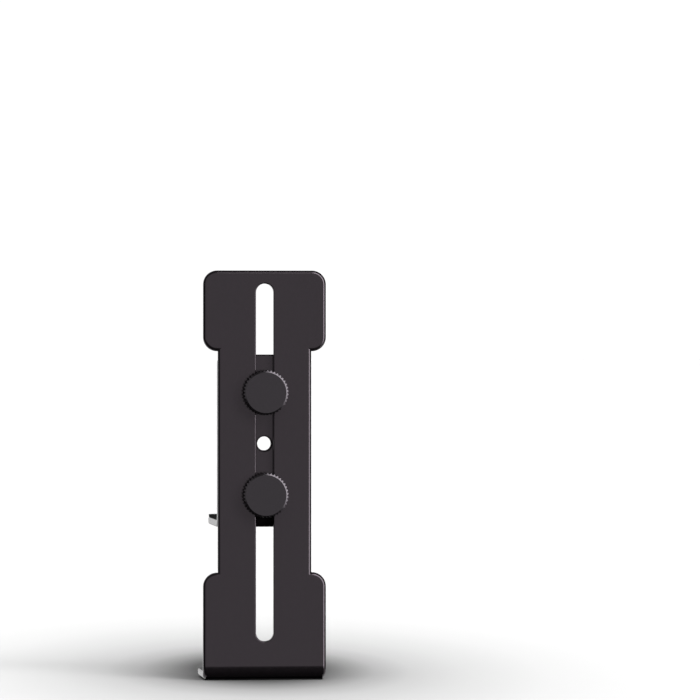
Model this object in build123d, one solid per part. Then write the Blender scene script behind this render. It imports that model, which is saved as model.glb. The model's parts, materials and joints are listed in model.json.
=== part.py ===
from build123d import *
import math
import os

# Adjustable support bracket for a graphics card, in millimetres.
# +Z is up and the front of the upright faces -Y. The origin lies on the ground,
# below the middle of the folded foot.

# Sheet that the upright and the arm are folded from
sheet_thickness = 1.8
fold_radius = 1.4               # inside of both folds
front_rim_radius = 0.85         # on the front and underside of the upright
slot_rim_radius = 0.3           # round the front of the slot
rim_chamfer = 0.3               # on the other rims of both sheets

# Upright: a slotted column with a wider head and foot, the foot folded back
total_height = 100.0            # ground to the top of the head
column_width = 22.9
flare_overhang = 3.6            # head and foot beyond each side of the column
head_height = 19.7
foot_height = 26.3              # ground to the shoulder of the foot
flare_radius = 3.4              # round corners of head and foot
base_depth = 24.0               # front of the column to the back of the foot
base_corner_radius = 9.0
slot_top_margin = 3.2           # head top to the slot's end
slot_low = 9.5                  # ground to the slot's end

# Thumbscrews: M4, turned from one bar, with a straight knurl round the head
thread_diameter = 4.0
thread_pitch = 0.7
pitch_diameter_drop = 0.65      # thread diameter less pitch diameter, in pitches
thread_clearance = 0.03         # on the radius, in the tapped holes
slot_clearance = 0.15           # on each side of the thread, in the slot
knob_diameter = 11.0
knob_height = 3.2
knob_bevel_width = 0.55         # round the knob's front, seen from the front
knob_bevel_depth = 0.25
knurl_count = 40
knurl_depth = 0.4
tip_chamfer = 0.35
tip_setback = 0.2               # screw tip short of the lining's face

# Support arm: a leg behind the column and a ledge folded back under the card
arm_low = 37.3                  # ground to the ledge's underside, as shown
arm_top_margin = 9.3            # highest tapped hole to the top of the leg
arm_depth = 28.7                # front of the leg to the ledge's free edge
arm_top_radius = 2.0
ledge_corner_radius = 4.0
hole_low = 7.9                  # ledge's underside to the lowest tapped hole
hole_pitch = 12.5
hole_count = 3
hole_chamfer = 0.25

# Foam linings, glued to the arm's inner faces and under the foot
card_lining_thickness = 0.6
base_lining_thickness = 0.3
base_lining_front = 1.7         # in from the front of the foot, where the fold rises
base_lining_setback = 0.7       # in from the sides and back of the foot
card_lining_setback = 0.1       # in from the sides and free ends of the arm
lining_corner_gap = 0.3         # added to the fold radius, so that it bridges the fold
lining_hole_diameter = 5.4

# Modelling aids
overrun = 1.0                   # cutting shapes run this far past the faces that they cut
corner_share = 0.98             # most of an overhang that a round corner may take up
tolerance = 1e-6

# Places that follow from the sizes above
flare_width = column_width + 2 * flare_overhang
flare_corner = min(flare_radius, corner_share * flare_overhang)
slot_width = thread_diameter + 2 * slot_clearance
slot_high = total_height - slot_top_margin
shank_diameter = thread_diameter - pitch_diameter_drop * thread_pitch
tapped_diameter = shank_diameter + 2 * thread_clearance
front_y = -base_depth / 2
arm_y = front_y + sheet_thickness
lining_y = arm_y + sheet_thickness
ledge_top = arm_low + sheet_thickness
hole_heights = [arm_low + hole_low + i * hole_pitch for i in range(hole_count)]
arm_height = hole_heights[-1] + arm_top_margin - arm_low
shank_length = 2 * sheet_thickness + card_lining_thickness - tip_setback


def folded_sheet(width, height, depth, thickness, inside_radius):
    """A strip folded once: a leg that stands at y = 0 and a flat that runs back along y."""
    corners = [(0, 0), (depth, 0), (depth, thickness),
               (thickness, thickness), (thickness, height), (0, height)]
    section = make_face(Polyline(*corners, close=True))
    outside = section.vertices().sort_by_distance((0, 0))[0]
    section = fillet(outside, inside_radius + thickness)
    inside = section.vertices().sort_by_distance((thickness, thickness))[0]
    section = fillet(inside, inside_radius)
    return extrude(Plane.YZ * section, width / 2, both=True)


def round_flat_corners(sheet, radius):
    """Round the two corners at the free end of a folded sheet's flat."""
    return fillet(sheet.edges().filter_by(Axis.Z).group_by(Axis.Y)[-1], radius)


def round_leg_corners(sheet, radius):
    """Round the two corners at the top of a folded sheet's leg."""
    return fillet(sheet.edges().filter_by(Axis.Y).group_by(Axis.Z)[-1], radius)


def leg_skin(sheet, y):
    """The flat skin of a folded sheet's leg, at y."""
    return sheet.faces().filter_by(Axis.Y).filter_by(lambda f: abs(f.center().Y - y) < tolerance)[0]


def skin_rims(sheet, y):
    """Rims of a folded sheet's leg, on its skin at y, apart from the line where the fold starts."""
    rims = leg_skin(sheet, y).edges()
    fold_line = rims.group_by(Axis.Z)[0]
    return [e for e in rims if e not in fold_line]


def along_y(sketch, y_from, y_to):
    """Extrude a sketch drawn in the front view (x across, y up) between two depths."""
    front_view = Plane(origin=(0, y_from, 0), x_dir=(1, 0, 0), z_dir=(0, -1, 0))
    return extrude(front_view * sketch, -(y_to - y_from))


def upright_outline():
    """Front view of the upright, which runs on below the ground to stay clear of the fold."""
    column = column_width / 2
    flare = flare_width / 2
    head_low = total_height - head_height
    right = [(flare, -foot_height), (flare, foot_height), (column, foot_height),
             (column, head_low), (flare, head_low), (flare, total_height)]
    left = [(-x, z) for x, z in reversed(right)]
    outline = make_face(Polyline(*right, *left, close=True))
    corners = outline.vertices().filter_by(lambda v: abs(abs(v.X) - flare) < tolerance and v.Y > 0)
    return fillet(corners, flare_corner)


def make_base_plate():
    plate_height = total_height - base_lining_thickness
    plate = folded_sheet(flare_width, plate_height, base_depth, sheet_thickness, fold_radius)
    plate = round_flat_corners(Pos(0, front_y, base_lining_thickness) * plate, base_corner_radius)
    plate = plate & along_y(upright_outline(), front_y - overrun, front_y + base_depth + overrun)
    plate = fillet(skin_rims(plate, front_y), front_rim_radius)
    slot = SlotOverall(slot_high - slot_low, slot_width, rotation=90)
    slot = Pos(0, (slot_high + slot_low) / 2) * slot
    plate = plate - along_y(slot, front_y - overrun, arm_y + overrun)
    plate = fillet(leg_skin(plate, front_y).inner_wires().edges(), slot_rim_radius)
    return chamfer(skin_rims(plate, arm_y), rim_chamfer)


def make_support_arm():
    arm = folded_sheet(column_width, arm_height, arm_depth, sheet_thickness, fold_radius)
    arm = round_flat_corners(Pos(0, arm_y, arm_low) * arm, ledge_corner_radius)
    arm = round_leg_corners(arm, arm_top_radius)
    for y in (arm_y, lining_y):
        arm = chamfer(skin_rims(arm, y), rim_chamfer)
    for z in hole_heights:
        arm = arm - along_y(Pos(0, z) * Circle(tapped_diameter / 2), arm_y - overrun, lining_y + overrun)
    mouths = arm.edges().filter_by(GeomType.CIRCLE)
    mouths = mouths.filter_by(lambda e: abs(e.radius - tapped_diameter / 2) < tolerance)
    return chamfer(mouths, hole_chamfer)


def make_card_lining():
    """Foam folded into the arm's inside corner, with a clear hole behind each tapped hole."""
    width = column_width - 2 * card_lining_setback
    height = arm_height - sheet_thickness - card_lining_setback
    depth = arm_depth - sheet_thickness - card_lining_setback
    bend = fold_radius + lining_corner_gap - card_lining_thickness
    lining = folded_sheet(width, height, depth, card_lining_thickness, bend)
    lining = Pos(0, lining_y, ledge_top) * lining
    lining = round_flat_corners(lining, ledge_corner_radius - card_lining_setback)
    lining = round_leg_corners(lining, arm_top_radius - card_lining_setback)
    for z in hole_heights:
        hole = Pos(0, z) * Circle(lining_hole_diameter / 2)
        lining = lining - along_y(hole, lining_y - overrun, lining_y + card_lining_thickness + overrun)
    return lining


def make_base_lining():
    """Foam sheet under the foot, up to where the fold rises off it."""
    depth = base_depth - base_lining_front - base_lining_setback
    width = flare_width - 2 * base_lining_setback
    sheet = extrude(Rectangle(width, depth, align=(Align.CENTER, Align.MIN)), base_lining_thickness)
    sheet = Pos(0, front_y + base_lining_front, 0) * sheet
    return round_flat_corners(sheet, base_corner_radius - base_lining_setback)


def make_thumbscrew(z):
    """Knurled head in front of the column, with its shank through the slot into the arm."""
    radius = knob_diameter / 2
    profile = Polyline((0, 0), (radius, 0), (radius, knob_height - knob_bevel_depth),
                       (radius - knob_bevel_width, knob_height), (0, knob_height), close=True)
    blank = revolve(Plane.XZ * make_face(profile), Axis.Z)
    notch = Rectangle(math.sqrt(2) * knurl_depth, math.sqrt(2) * knurl_depth, rotation=45)
    knurl = Circle(radius) - PolarLocations(radius, knurl_count) * notch
    head = blank & extrude(knurl, knob_height)
    shank = Cylinder(shank_diameter / 2, shank_length, align=(Align.CENTER, Align.CENTER, Align.MAX))
    shank = chamfer(shank.edges().group_by(Axis.Z)[0], tip_chamfer)
    seat = Plane(origin=(0, front_y, z), x_dir=(1, 0, 0), z_dir=(0, -1, 0))
    return seat * (head + shank)


pieces = {
    "base_plate": make_base_plate(),
    "base_lining": make_base_lining(),
    "support_arm": make_support_arm(),
    "card_lining": make_card_lining(),
    "thumbscrew_lower": make_thumbscrew(hole_heights[0]),
    "thumbscrew_upper": make_thumbscrew(hole_heights[-1]),
}

os.makedirs("parts", exist_ok=True)
for name, piece in pieces.items():
    export_step(piece, f"parts/{name}.step")
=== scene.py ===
import json
import math

import bmesh
import bpy
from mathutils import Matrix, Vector, noise


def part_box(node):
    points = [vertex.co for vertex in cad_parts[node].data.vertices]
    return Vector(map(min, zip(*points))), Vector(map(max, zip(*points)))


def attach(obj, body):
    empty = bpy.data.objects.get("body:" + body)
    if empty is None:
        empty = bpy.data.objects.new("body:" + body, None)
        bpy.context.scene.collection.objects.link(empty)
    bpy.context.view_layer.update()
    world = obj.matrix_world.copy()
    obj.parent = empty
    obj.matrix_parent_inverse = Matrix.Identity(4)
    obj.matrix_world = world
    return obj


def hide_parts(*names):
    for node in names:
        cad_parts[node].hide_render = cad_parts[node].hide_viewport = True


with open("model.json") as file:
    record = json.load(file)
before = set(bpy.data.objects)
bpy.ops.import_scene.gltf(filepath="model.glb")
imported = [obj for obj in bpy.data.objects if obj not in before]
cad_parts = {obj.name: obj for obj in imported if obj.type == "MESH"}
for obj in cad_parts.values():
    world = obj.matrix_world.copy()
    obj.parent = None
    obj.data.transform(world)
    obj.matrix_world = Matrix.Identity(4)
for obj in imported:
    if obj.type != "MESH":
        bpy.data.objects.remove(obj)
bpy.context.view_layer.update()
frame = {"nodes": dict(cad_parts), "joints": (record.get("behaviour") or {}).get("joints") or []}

# Looks of the support bracket: coated sheets, black screws and foam linings,
# on a white studio floor. Lengths are in metres, in the frame of the CAD model.
mm = 0.001

# Camera: level, with a long lens, a little to the left
frame_width = 171.1 * mm        # width of the picture at the front of the upright
camera_distance = 1.2
camera_azimuth = -6.8           # degrees, from straight ahead
camera_elevation = 0.0
camera_far_end = 100            # nothing further away is drawn
aim_right = 20.9 * mm           # middle of the picture, from the middle of the upright
aim_height = 80.6 * mm
sensor_width = 36               # millimetres, as the lens is

# Colours, linear. A tint is that of what the surface mirrors.
coat_colour = (0.0055, 0.0046, 0.0053)
coat_fleck = (0.0072, 0.0059, 0.0069)
coat_tint = (1.0, 0.86, 0.97)
screw_colour = (0.0045, 0.0040, 0.0045)
screw_fleck = (0.0059, 0.0051, 0.0059)
screw_tint = (1.0, 0.90, 1.0)
foam_colour = (0.0035, 0.0035, 0.0035)
foam_fleck = (0.0060, 0.0060, 0.0060)

# Studio: brightness of what surrounds the object, and its edges in degrees.
# Angles off the axis are from straight ahead, and angles around it from the right, upwards.
backdrop_level = 1.05           # as the camera sees it
front_level = 0.90
front_edge = (50, 70)
front_left_edge = (-65, -38)    # its left end, as an angle from the plane of symmetry
front_top_edge = (25, 43)       # its upper end, as an angle above the horizon
back_level = 0.9
back_edge = (125, 150)
back_right_share = 0.2          # of that level, behind and to the right
back_right_edge = (-1.7, 2.9)   # from left to right, as an angle from the plane of symmetry
ground_edge = (-17, -10)
glow_level = 0.8                # pale floor behind and at the right, as upright faces mirror it
glow_behind = (0, 9)
glow_gap = ((-1, 2), (12, 16))  # dark strip behind, that the undersides of the folds mirror
glow_right = (37, 45)
side_level = 0.005              # added all round
panel_level = 9.8               # curved light at the front right and above
panel_off_axis = ((30, 36), (56, 62))
panel_around = ((-42, 5), (70, 84))
top_strength = 4.6              # overhead light that whitens the floor
top_spread = 100                # degrees

# Floor, with a soft shadow painted into its colour round the foot
floor_reach = 40.0              # half its width
# Painted shade: base colour of the floor, darker nearer the foot, in place of its shadow
painted_shade_levels = ((0, 0.075), (16, 0.080), (22, 0.165), (29, 0.26),
                (38, 0.335), (50, 0.38), (72, 0.44), (105, 0.485))  # millimetres out, and level
painted_shade_reach = painted_shade_levels[-1][0] * mm
painted_shade_middle = (3 * mm, 33 * mm, 0)
painted_shade_length = 2.8              # from front to back, for a width of 1
painted_shade_turn = -4                 # degrees, of its long axis

# Thumbscrews
bevel_depth = 0.25 * mm         # of the bevel round the knob's face
knurl_roughness = 0.45          # added to the roughness of the face

# Foam sheets
card_foam_thickness = 0.6 * mm
hole_radius = 2.7 * mm
ledge_corner = 3.9 * mm
leg_corner = 1.9 * mm
base_corner = 8.3 * mm
fold_middle_radius = 1.4 * mm   # middle of the foam's thickness
foam_edge_radius = 0.1 * mm
foam_edge_segments = 3
foam_edge_angle = 50            # degrees, least angle of an edge that is rounded
foam_wobble = 0.02 * mm
foam_wobble_length = 2.5 * mm

# Mesh of the foam sheets
foam_step = 0.9 * mm
fold_step = 0.2 * mm            # round the fold
corner_step = 10                # degrees, round a corner
hole_margin = 0.9 * mm          # square of mesh round a hole, beyond its edge
hole_sides = 8                  # steps along each side of that square
hole_rings = (0.0, 0.35, 0.7, 1.0)  # share of the way from the square to the hole
merge_distance = 0.001 * mm

# Thread in the spare hole
sheet_thickness = 1.8 * mm
thread_pitch = 0.7 * mm
thread_wall_radius = 1.81 * mm  # just inside the metal round the hole
thread_crest_radius = 1.62 * mm
thread_foot_width = 0.56 * mm
thread_crest_share = 0.2        # width of the crest, for a foot of 1
thread_mouth = 0.25 * mm        # chamfer at each end of the hole
thread_steps = 48               # a turn
thread_fade = 0.25              # of a turn, over which the ridge rises at its ends


def new_material(name):
    """A material with its principled shader, and the node tree to add to."""
    material = bpy.data.materials.new(name)
    material.use_nodes = True
    tree = material.node_tree
    return material, tree, tree.nodes["Principled BSDF"]


def object_coordinates(tree):
    """Place on the object, in metres."""
    return tree.nodes.new("ShaderNodeTexCoord").outputs["Object"]


def add_node(tree, kind, **inputs):
    """A node with some of its inputs set, by name."""
    node = tree.nodes.new(kind)
    for name, value in inputs.items():
        node.inputs[name.replace("_", " ")].default_value = value
    return node


def add_noise(tree, place, scale, detail):
    """Soft noise, by its scale for a metre and its octaves."""
    node = add_node(tree, "ShaderNodeTexNoise", Scale=scale, Detail=detail, Roughness=0.5)
    tree.links.new(place, node.inputs["Vector"])
    return node.outputs["Fac"]


def add_mix(tree, factor, first, second):
    """A colour between two, by a factor from another node."""
    node = tree.nodes.new("ShaderNodeMix")
    node.data_type = "RGBA"
    node.inputs["A"].default_value = (*first, 1)
    node.inputs["B"].default_value = (*second, 1)
    tree.links.new(factor, node.inputs["Factor"])
    return node.outputs["Result"]


def add_range(tree, value, low, high, from_low=0.3, from_high=0.7):
    """A value taken to another range, by default from the middle of a noise."""
    node = add_node(tree, "ShaderNodeMapRange", From_Min=from_low, From_Max=from_high,
                    To_Min=low, To_Max=high)
    tree.links.new(value, node.inputs["Value"])
    return node.outputs["Result"]


def add_bump(tree, height, strength, distance, below=None):
    """A bumpy normal from a height, on top of another bump if one is given."""
    node = add_node(tree, "ShaderNodeBump", Strength=strength, Distance=distance)
    tree.links.new(height, node.inputs["Height"])
    if below is not None:
        tree.links.new(below, node.inputs["Normal"])
    return node.outputs["Normal"]


def add_flecks(tree, shader, place, scale, colours):
    """Base colour in fine flecks between two colours."""
    fleck = add_range(tree, add_noise(tree, place, scale, detail=4.0), low=0.0, high=1.0)
    tree.links.new(add_mix(tree, fleck, *colours), shader.inputs["Base Color"])


def add_math(tree, operation, *values):
    """A function of sockets and plain numbers."""
    node = tree.nodes.new("ShaderNodeMath")
    node.operation = operation
    for socket, value in zip(node.inputs, values):
        if isinstance(value, (int, float)):
            socket.default_value = value
        else:
            tree.links.new(value, socket)
    return node.outputs[0]


def add_product(tree, first, *others):
    """Product of two or more sockets and plain numbers."""
    for value in others:
        first = add_math(tree, "MULTIPLY", first, value)
    return first


def add_sum(tree, first, *others):
    """Sum of two or more sockets and plain numbers."""
    for value in others:
        first = add_math(tree, "ADD", first, value)
    return first


def make_coat():
    """Satin powder coat: a fine grain, a faint orange peel and slightly uneven gloss."""
    material, tree, shader = new_material("satin_coat")
    place = object_coordinates(tree)
    shader.inputs["Specular IOR Level"].default_value = 0.44
    shader.inputs["Specular Tint"].default_value = (*coat_tint, 1)
    add_flecks(tree, shader, place, scale=1400, colours=(coat_colour, coat_fleck))
    gloss = add_range(tree, add_noise(tree, place, scale=260, detail=4.0), low=0.14, high=0.165)
    tree.links.new(gloss, shader.inputs["Roughness"])
    peel = add_noise(tree, place, scale=900, detail=2.0)
    peel = add_bump(tree, peel, strength=0.10, distance=0.02 * mm)
    grain = add_noise(tree, place, scale=6500, detail=2.0)
    grain = add_bump(tree, grain, strength=0.10, distance=0.008 * mm, below=peel)
    tree.links.new(grain, shader.inputs["Normal"])
    return material


def make_screw_finish(axis_height, face_y):
    """Blackened turned steel: faint rings on its faces, and a rough knurl behind the bevel."""
    material, tree, shader = new_material(f"black_screw_{round(axis_height / mm)}")
    place = object_coordinates(tree)
    shader.inputs["Specular IOR Level"].default_value = 0.46
    shader.inputs["Specular Tint"].default_value = (*screw_tint, 1)
    add_flecks(tree, shader, place, scale=1800, colours=(screw_colour, screw_fleck))
    gloss = add_range(tree, add_noise(tree, place, scale=420, detail=4.0), low=0.17, high=0.22)
    parts = tree.nodes.new("ShaderNodeSeparateXYZ")
    tree.links.new(place, parts.inputs[0])
    knurl = add_range(tree, parts.outputs["Y"], low=0.0, high=knurl_roughness,
                      from_low=face_y + bevel_depth, from_high=face_y + 2 * bevel_depth)
    tree.links.new(add_sum(tree, gloss, knurl), shader.inputs["Roughness"])
    centred = add_node(tree, "ShaderNodeMapping", Location=(0, 0, -axis_height))
    tree.links.new(place, centred.inputs["Vector"])
    rings = add_node(tree, "ShaderNodeTexWave", Scale=1300.0, Distortion=0.6, Detail=1.0, Detail_Scale=0.4)
    rings.wave_type = "RINGS"
    rings.rings_direction = "Y"
    tree.links.new(centred.outputs["Vector"], rings.inputs["Vector"])
    turned = add_bump(tree, rings.outputs["Fac"], strength=0.05, distance=0.01 * mm)
    grain = add_noise(tree, place, scale=5000, detail=2.0)
    grain = add_bump(tree, grain, strength=0.08, distance=0.008 * mm, below=turned)
    tree.links.new(grain, shader.inputs["Normal"])
    return material


def make_foam():
    """Closed-cell foam: small pits between cell walls, and hardly any gloss."""
    material, tree, shader = new_material("black_foam")
    place = object_coordinates(tree)
    shader.inputs["Specular IOR Level"].default_value = 0.02
    add_flecks(tree, shader, place, scale=2200, colours=(foam_colour, foam_fleck))
    gloss = add_range(tree, add_noise(tree, place, scale=700, detail=3.0), low=0.75, high=0.9)
    tree.links.new(gloss, shader.inputs["Roughness"])
    cells = add_node(tree, "ShaderNodeTexVoronoi", Scale=4200.0)
    tree.links.new(place, cells.inputs["Vector"])
    pits = add_bump(tree, cells.outputs["Distance"], strength=0.5, distance=0.05 * mm)
    tree.links.new(pits, shader.inputs["Normal"])
    return material


def finish_node(name, material):
    """Give a CAD node its material."""
    for slot in frame["nodes"][name].material_slots:
        slot.material = material


def new_piece(name, maker, material, body):
    """An object from a bmesh, with its material, that rides on a body."""
    mesh = bpy.data.meshes.new(name)
    maker.to_mesh(mesh)
    maker.free()
    for face in mesh.polygons:
        face.use_smooth = True
    mesh.materials.append(material)
    piece = bpy.data.objects.new(name, mesh)
    bpy.context.scene.collection.objects.link(piece)
    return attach(piece, body)


def stops(start, end, step):
    """Even stops from start to end, about a step apart."""
    count = max(1, round((end - start) / step))
    return [start + (end - start) * i / count for i in range(count + 1)]


def end_stops(radius):
    """Distances from an end that draw a round corner of that radius."""
    return [radius * (1 - math.cos(math.radians(angle))) for angle in range(0, 90, corner_step)]


def corner_inset(distance, radius):
    """How far a round corner draws the side in, at a distance from the end."""
    reach = min(max(radius - distance, 0.0), radius)
    return radius - math.sqrt(radius ** 2 - reach ** 2)


def ring_block(maker, centre, half):
    """Faces between a square and the round hole in it, in the flat sheet."""
    corners = [Vector(corner) for corner in ((-1, -1), (1, -1), (1, 1), (-1, 1))]
    around = []
    for corner, following in zip(corners, corners[1:] + corners[:1]):
        around += [corner.lerp(following, i / hole_sides) for i in range(hole_sides)]
    rings = []
    for share in hole_rings:
        ring = []
        for spot in around:
            flat = spot * half * (1 - share) + spot.normalized() * hole_radius * share
            ring.append(maker.verts.new((flat.x, centre + flat.y, 0)))
        rings.append(ring)
    for outer, inner in zip(rings, rings[1:]):
        for i in range(len(around)):
            j = (i + 1) % len(around)
            maker.faces.new((outer[i], outer[j], inner[j], inner[i]))


def flat_sheet(width, length, start_radius, end_radius, holes=(), fold=()):
    """A foam sheet laid flat: x across, y along, with round corners and holes on its middle line.

    The fold is given as stops along the sheet, beyond the last hole."""
    half_block = hole_radius + hole_margin
    block_step = 2 * half_block / hole_sides
    along = set(end_stops(start_radius))
    along |= {length - d for d in end_stops(end_radius)}
    edges = [start_radius]
    for centre in holes:
        edges += [centre - half_block, centre + half_block]
        along |= set(stops(centre - half_block, centre + half_block, block_step))
    if fold:
        edges += [fold[0], fold[-1]]
        along |= set(fold)
    edges.append(length - end_radius)
    for low, high in zip(edges[::2], edges[1::2]):
        along |= set(stops(low, high, foam_step))
    along = sorted(along)
    outer = stops(half_block, width / 2, foam_step)[1:]
    across = [-x for x in reversed(outer)] + stops(-half_block, half_block, block_step) + outer
    maker = bmesh.new()
    for s0, s1 in zip(along, along[1:]):
        beside_hole = any(abs((s0 + s1) / 2 - centre) < half_block for centre in holes)
        for x0, x1 in zip(across, across[1:]):
            if beside_hole and abs(x0 + x1) / 2 < half_block:
                continue
            corners = ((x0, s0), (x1, s0), (x1, s1), (x0, s1))
            maker.faces.new([maker.verts.new((x, s, 0)) for x, s in corners])
    for centre in holes:
        ring_block(maker, centre, half_block)
    bmesh.ops.remove_doubles(maker, verts=maker.verts, dist=merge_distance)
    for vertex in maker.verts:
        start_inset = corner_inset(vertex.co.y, start_radius)
        end_inset = corner_inset(length - vertex.co.y, end_radius)
        vertex.co.x *= 1 - max(start_inset, end_inset) / (width / 2)
    return maker


def wobble(maker):
    """Slight unevenness of a sheet that was cut and pressed on by hand."""
    for vertex in maker.verts:
        vertex.co += Vector((1, 1, 0)) * foam_wobble * noise.noise(vertex.co / foam_wobble_length)


def soften(piece, thickness):
    """Thicken a foam sheet and round its cut edges."""
    solid = piece.modifiers.new("thickness", "SOLIDIFY")
    solid.thickness = thickness
    solid.offset = 0
    bevel = piece.modifiers.new("soft_edges", "BEVEL")
    bevel.width = foam_edge_radius
    bevel.segments = foam_edge_segments
    bevel.limit_method = "ANGLE"
    bevel.angle_limit = math.radians(foam_edge_angle)


def make_card_lining(foam, holes):
    """Foam that runs down the arm's leg, round the fold and out along the ledge."""
    low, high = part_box("card_lining")
    leg_y = low.y + card_foam_thickness / 2
    ledge_z = low.z + card_foam_thickness / 2
    leg_length = high.z - ledge_z - fold_middle_radius
    arc_length = fold_middle_radius * math.pi / 2
    ledge_length = high.y - leg_y - fold_middle_radius
    length = leg_length + arc_length + ledge_length
    hole_places = [high.z - z for z in sorted(holes, reverse=True)]
    fold = stops(leg_length, leg_length + arc_length, fold_step)
    maker = flat_sheet(high.x - low.x, length, leg_corner, ledge_corner, hole_places, fold)
    wobble(maker)
    for vertex in maker.verts:
        x, s, _ = vertex.co
        if s <= leg_length:
            vertex.co = (x, leg_y, high.z - s)
        elif s >= leg_length + arc_length:
            vertex.co = (x, leg_y + fold_middle_radius + s - leg_length - arc_length, ledge_z)
        else:
            turn = (s - leg_length) / fold_middle_radius
            vertex.co = (x, leg_y + fold_middle_radius * (1 - math.cos(turn)),
                         ledge_z + fold_middle_radius * (1 - math.sin(turn)))
    piece = new_piece("card_foam", maker, foam, "arm")
    soften(piece, card_foam_thickness)
    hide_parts("card_lining")


def make_base_lining(foam):
    """Foam under the folded foot."""
    low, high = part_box("base_lining")
    maker = flat_sheet(high.x - low.x, high.y - low.y, foam_edge_radius, base_corner)
    wobble(maker)
    for vertex in maker.verts:
        x, s, _ = vertex.co
        vertex.co = (x, low.y + s, (low.z + high.z) / 2)
    piece = new_piece("base_foam", maker, foam, "base")
    soften(piece, high.z - low.z)
    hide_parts("base_lining")


def make_spare_thread(coat, height):
    """Thread ridge inside the open tapped hole."""
    low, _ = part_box("support_arm")
    start = low.y + thread_mouth
    end = low.y + sheet_thickness - thread_mouth
    turns = (end - start - thread_foot_width) / thread_pitch
    count = round(thread_steps * turns)
    half_foot = thread_foot_width / 2
    half_crest = half_foot * thread_crest_share
    maker = bmesh.new()
    rows = []
    for i in range(count + 1):
        angle = 2 * math.pi * i / thread_steps
        middle = start + half_foot + thread_pitch * i / thread_steps
        fade = min(1.0, min(i, count - i) / (thread_fade * thread_steps))
        crest = thread_wall_radius + (thread_crest_radius - thread_wall_radius) * fade
        profile = ((thread_wall_radius, middle - half_foot), (crest, middle - half_crest),
                   (crest, middle + half_crest), (thread_wall_radius, middle + half_foot))
        rows.append([maker.verts.new((radius * math.sin(angle), y, height + radius * math.cos(angle)))
                     for radius, y in profile])
    for first, second in zip(rows, rows[1:]):
        for k in range(len(first)):
            after = (k + 1) % len(first)
            maker.faces.new((first[k], first[after], second[after], second[k]))
    bmesh.ops.recalc_face_normals(maker, faces=maker.faces)
    new_piece("spare_hole_thread", maker, coat, "arm")


def make_floor_with_painted_shade():
    """Matt white, with a soft grey shadow painted into its base colour round the foot."""
    material, tree, shader = new_material("floor_white")
    shader.inputs["Roughness"].default_value = 0.9
    shader.inputs["Specular IOR Level"].default_value = 0.0
    stretch = add_node(tree, "ShaderNodeMapping", Location=painted_shade_middle, Scale=(1, painted_shade_length, 1),
                       Rotation=(0, 0, math.radians(painted_shade_turn)))
    stretch.vector_type = "TEXTURE"
    tree.links.new(object_coordinates(tree), stretch.inputs["Vector"])
    distance = tree.nodes.new("ShaderNodeVectorMath")
    distance.operation = "LENGTH"
    tree.links.new(stretch.outputs["Vector"], distance.inputs[0])
    share = add_range(tree, distance.outputs["Value"], low=0.0, high=1.0, from_low=0.0, from_high=painted_shade_reach)
    # Painted shade: the ramp darkens the floor's base colour towards the foot, in place of a shadow
    shade = tree.nodes.new("ShaderNodeValToRGB")
    tree.links.new(share, shade.inputs["Fac"])
    ramp = shade.color_ramp.elements
    while len(ramp) < len(painted_shade_levels):
        ramp.new(1.0)
    for element, (radius, level) in zip(ramp, painted_shade_levels):
        element.position = radius * mm / painted_shade_reach
        element.color = (level, level, level, 1)
    tree.links.new(shade.outputs["Color"], shader.inputs["Base Color"])
    return material


def make_floor():
    """Wide flat floor, which the object neither mirrors nor takes light from."""
    corners = [(x * floor_reach, y * floor_reach, 0) for x, y in ((-1, -1), (1, -1), (1, 1), (-1, 1))]
    mesh = bpy.data.meshes.new("floor")
    mesh.from_pydata(corners, [], [(0, 1, 2, 3)])
    mesh.materials.append(make_floor_with_painted_shade())
    floor = bpy.data.objects.new("floor", mesh)
    floor.visible_glossy = False
    floor.visible_diffuse = False
    bpy.context.scene.collection.objects.link(floor)


def add_step(tree, value, start, end):
    """Rises smoothly from 0 to 1 between two values, or falls if the first is the larger."""
    node = add_node(tree, "ShaderNodeMapRange", From_Min=start, From_Max=end)
    node.interpolation_type = "SMOOTHSTEP"
    tree.links.new(value, node.inputs["Value"])
    return node.outputs["Result"]


def add_edge(tree, angle, edge):
    """Rises from 0 to 1 between a pair of angles in degrees, or falls if the first is the larger."""
    return add_step(tree, angle, *(math.radians(a) for a in edge))


def add_window(tree, angle, rise, fall):
    """1 between two edges, each a pair of angles over which it fades."""
    return add_product(tree, add_edge(tree, angle, rise), add_edge(tree, angle, reversed(fall)))


def add_side(tree, part, edge):
    """Rises from 0 to 1 across a plane, by one part of the direction and a pair of angles to that plane."""
    return add_step(tree, part, *(math.sin(math.radians(a)) for a in edge))


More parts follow.
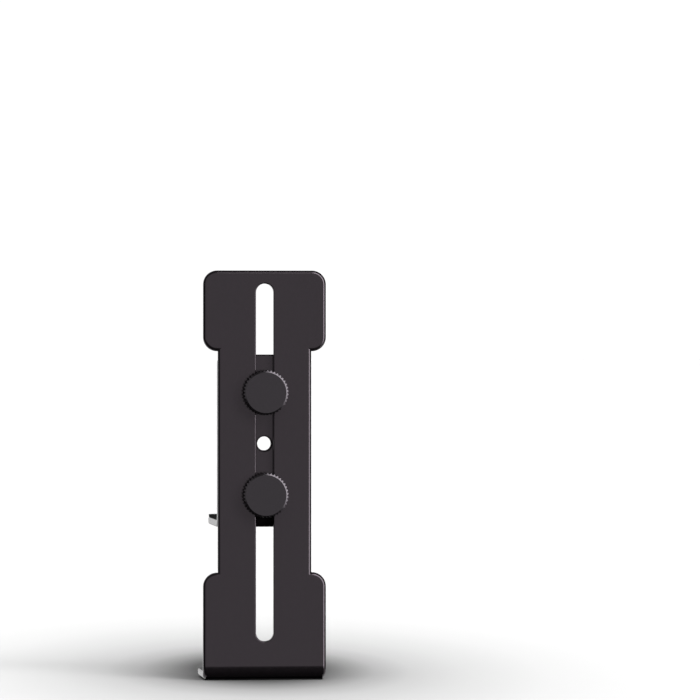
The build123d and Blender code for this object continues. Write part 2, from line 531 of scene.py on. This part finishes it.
def make_world():
    """Studio surroundings, by the angle from straight ahead and the angle round that line."""
    world = bpy.data.worlds.new("studio")
    world.use_nodes = True
    tree = world.node_tree
    direction = tree.nodes.new("ShaderNodeSeparateXYZ")
    tree.links.new(tree.nodes.new("ShaderNodeTexCoord").outputs["Generated"], direction.inputs[0])
    x, y, z = direction.outputs
    off_axis = add_math(tree, "ARCCOSINE", add_product(tree, y, -1.0))
    around = add_math(tree, "ARCTAN2", z, x)
    above_ground = add_side(tree, z, ground_edge)
    below_ground = add_math(tree, "SUBTRACT", 1.0, above_ground)
    front = add_product(tree, add_edge(tree, off_axis, reversed(front_edge)), front_level,
                        add_side(tree, x, front_left_edge), add_side(tree, z, reversed(front_top_edge)))
    left, right = (math.sin(math.radians(a)) for a in back_right_edge)
    back = add_product(tree, add_edge(tree, off_axis, back_edge), back_level,
                       add_range(tree, x, low=1.0, high=back_right_share, from_low=left, from_high=right))
    walls = add_product(tree, add_sum(tree, front, back), above_ground)
    gap = add_product(tree, add_side(tree, x, glow_gap[0]), add_side(tree, x, reversed(glow_gap[1])))
    behind = add_product(tree, add_side(tree, y, glow_behind), add_math(tree, "SUBTRACT", 1.0, gap))
    glow = add_math(tree, "MAXIMUM", behind, add_side(tree, x, glow_right))
    glow = add_product(tree, glow, below_ground, glow_level)
    panel = add_product(tree, add_window(tree, off_axis, *panel_off_axis),
                        add_window(tree, around, *panel_around), panel_level)
    light = add_sum(tree, walls, glow, panel, side_level)
    seen = tree.nodes.new("ShaderNodeLightPath").outputs["Is Camera Ray"]
    level = add_math(tree, "MAXIMUM", light, add_product(tree, seen, backdrop_level))
    tree.links.new(level, tree.nodes["Background"].inputs["Color"])
    bpy.context.scene.world = world


def make_overhead():
    """Wide soft light from above, for the floor."""
    lamp = bpy.data.lights.new("overhead", "SUN")
    lamp.energy = top_strength
    lamp.angle = math.radians(top_spread)
    holder = bpy.data.objects.new("overhead", lamp)
    holder.visible_glossy = False
    bpy.context.scene.collection.objects.link(holder)


def make_camera(front):
    """Camera that looks at a point in the plane of the upright's front."""
    azimuth = math.radians(camera_azimuth)
    elevation = math.radians(camera_elevation)
    towards = Vector((math.sin(azimuth) * math.cos(elevation),
                      -math.cos(azimuth) * math.cos(elevation),
                      math.sin(elevation)))
    data = bpy.data.cameras.new("camera")
    data.sensor_width = sensor_width
    data.lens = sensor_width * camera_distance / frame_width
    data.clip_end = camera_far_end
    camera = bpy.data.objects.new("camera", data)
    camera.location = Vector((aim_right, front, aim_height)) + towards * camera_distance
    camera.rotation_euler = (-towards).to_track_quat("-Z", "Y").to_euler()
    bpy.context.scene.collection.objects.link(camera)
    bpy.context.scene.camera = camera


joints = {joint["name"]: joint for joint in frame["joints"]}
screw_heights = {side: joints[f"{side}_screw_turn"]["pos_m"][2] for side in ("lower", "upper")}
spare_height = sum(screw_heights.values()) / 2

coat = make_coat()
foam = make_foam()
finish_node("base_plate", coat)
finish_node("support_arm", coat)
for side, height in screw_heights.items():
    node = f"thumbscrew_{side}"
    finish_node(node, make_screw_finish(height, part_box(node)[0].y))
make_card_lining(foam, [*screw_heights.values(), spare_height])
make_base_lining(foam)
make_spare_thread(coat, spare_height)
make_floor()
make_world()
make_overhead()
make_camera(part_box("base_plate")[0].y)
bpy.context.scene.view_settings.view_transform = "Standard"
